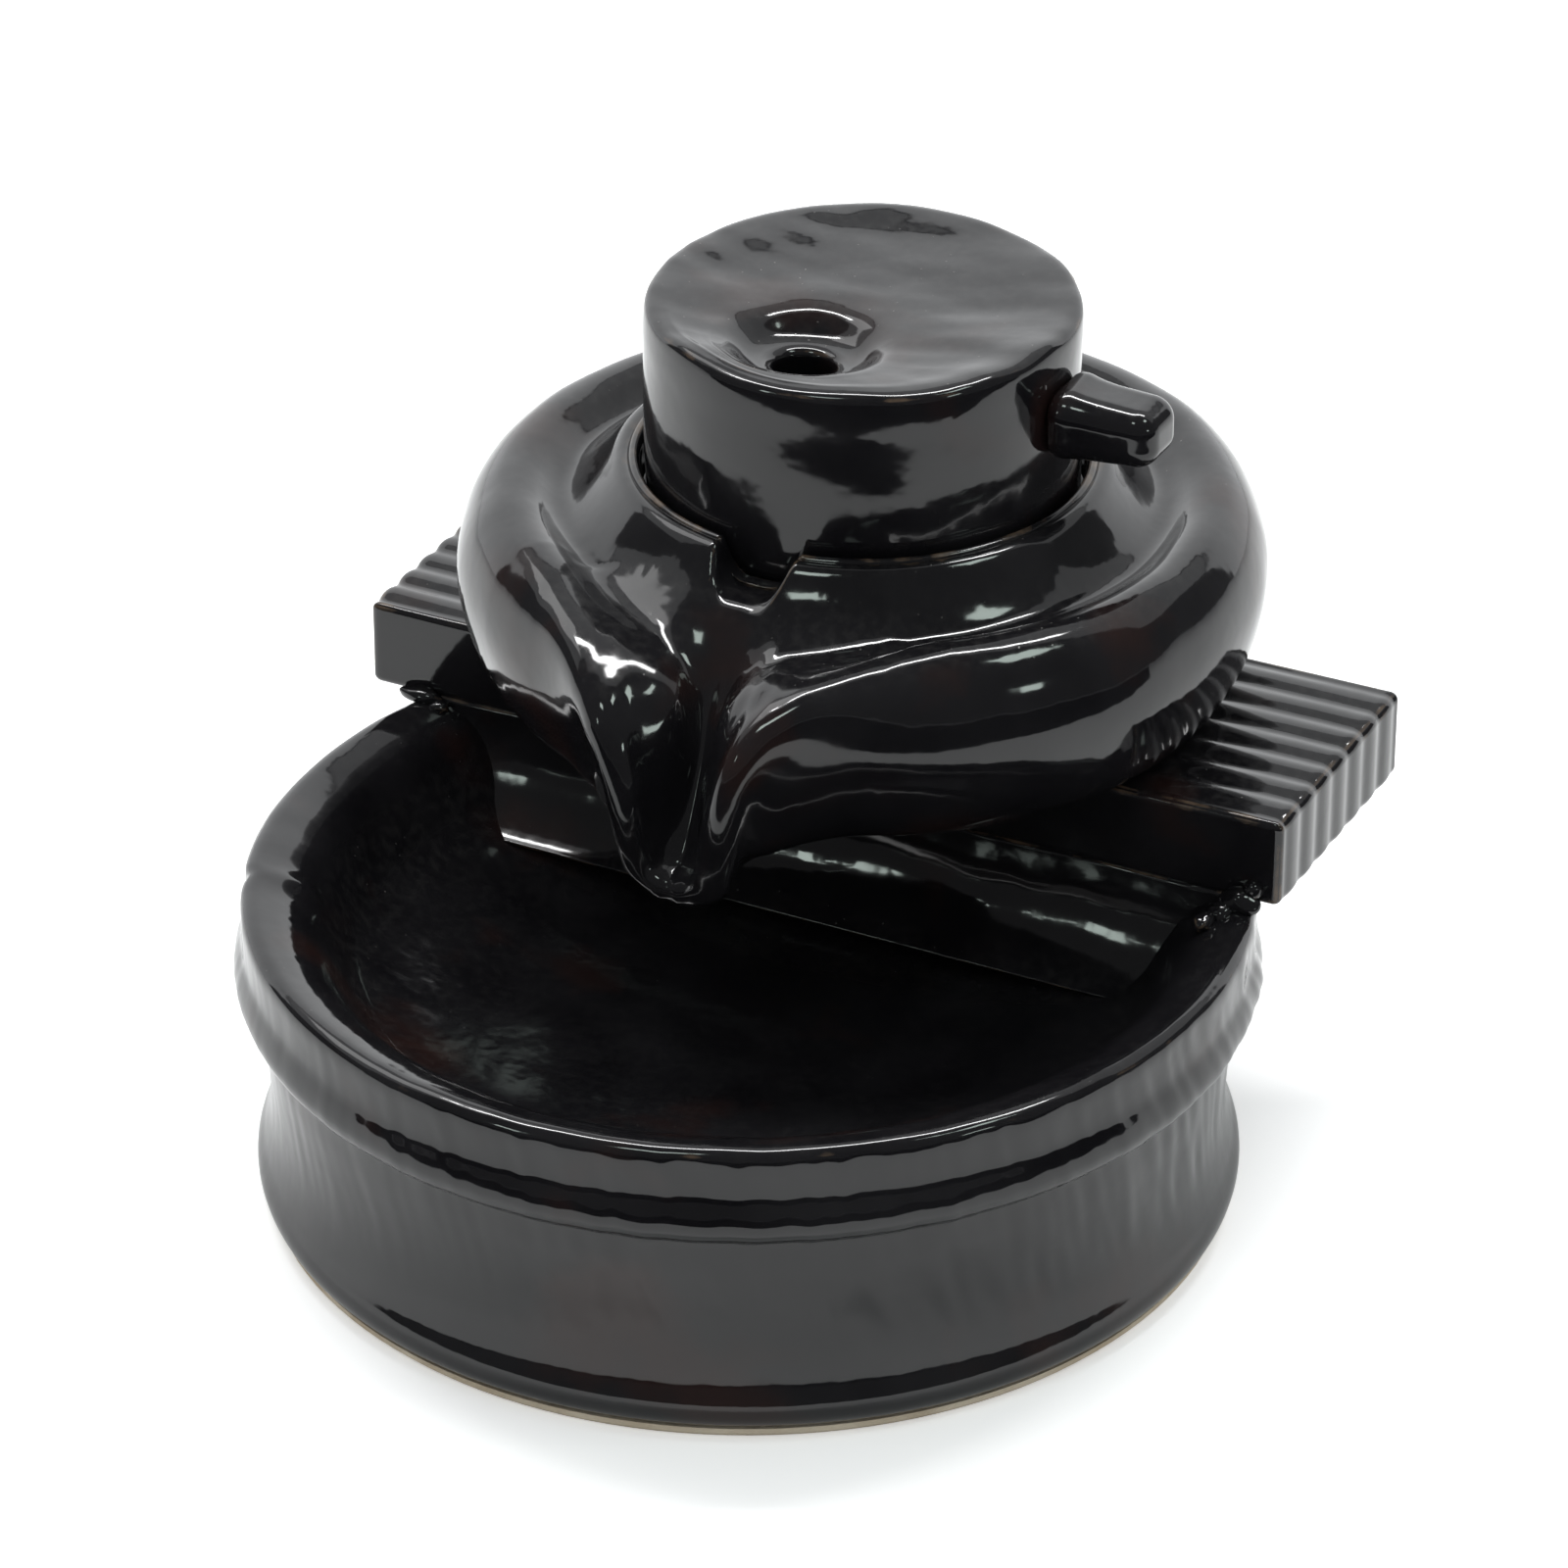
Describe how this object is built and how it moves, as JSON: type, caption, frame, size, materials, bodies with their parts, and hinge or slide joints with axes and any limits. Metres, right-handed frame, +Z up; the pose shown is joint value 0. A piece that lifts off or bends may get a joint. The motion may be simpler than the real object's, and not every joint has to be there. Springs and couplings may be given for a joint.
{
  "type": "incense burner",
  "caption": "Black glazed backflow incense burner: a hand mill on a plank pours smoke from its spout into a round basin.",
  "frame": {"origin": "centre of the basin's flat underside", "axes": "+Z up along the basin's axis, -Y towards the side that the spout pours to, +X along the plank to the side of the runner stone's peg"},
  "size_m": [0.1119, 0.13, 0.091],
  "materials": {
    "black_glaze": "glossy black tenmoku glaze that breaks brown on edges",
    "bare_clay": "unglazed buff clay"
  },
  "bodies": {
    "burner": {"basin_base": "bare_clay", "basin": "black_glaze", "bridge_wall": "black_glaze", "bridge_plank": "black_glaze", "rim_joints": "black_glaze", "lower_stone": "black_glaze", "spout": "black_glaze", "seat_ring": "black_glaze"},
    "runner": {"upper_stone": "black_glaze", "turning_peg": "black_glaze"}
  },
  "joints": [
    {"name": "runner_lift", "type": "slide", "parent": "burner", "child": "runner", "axis": [0, 0, 1], "range_m": [0, 0.03]}
  ]
}
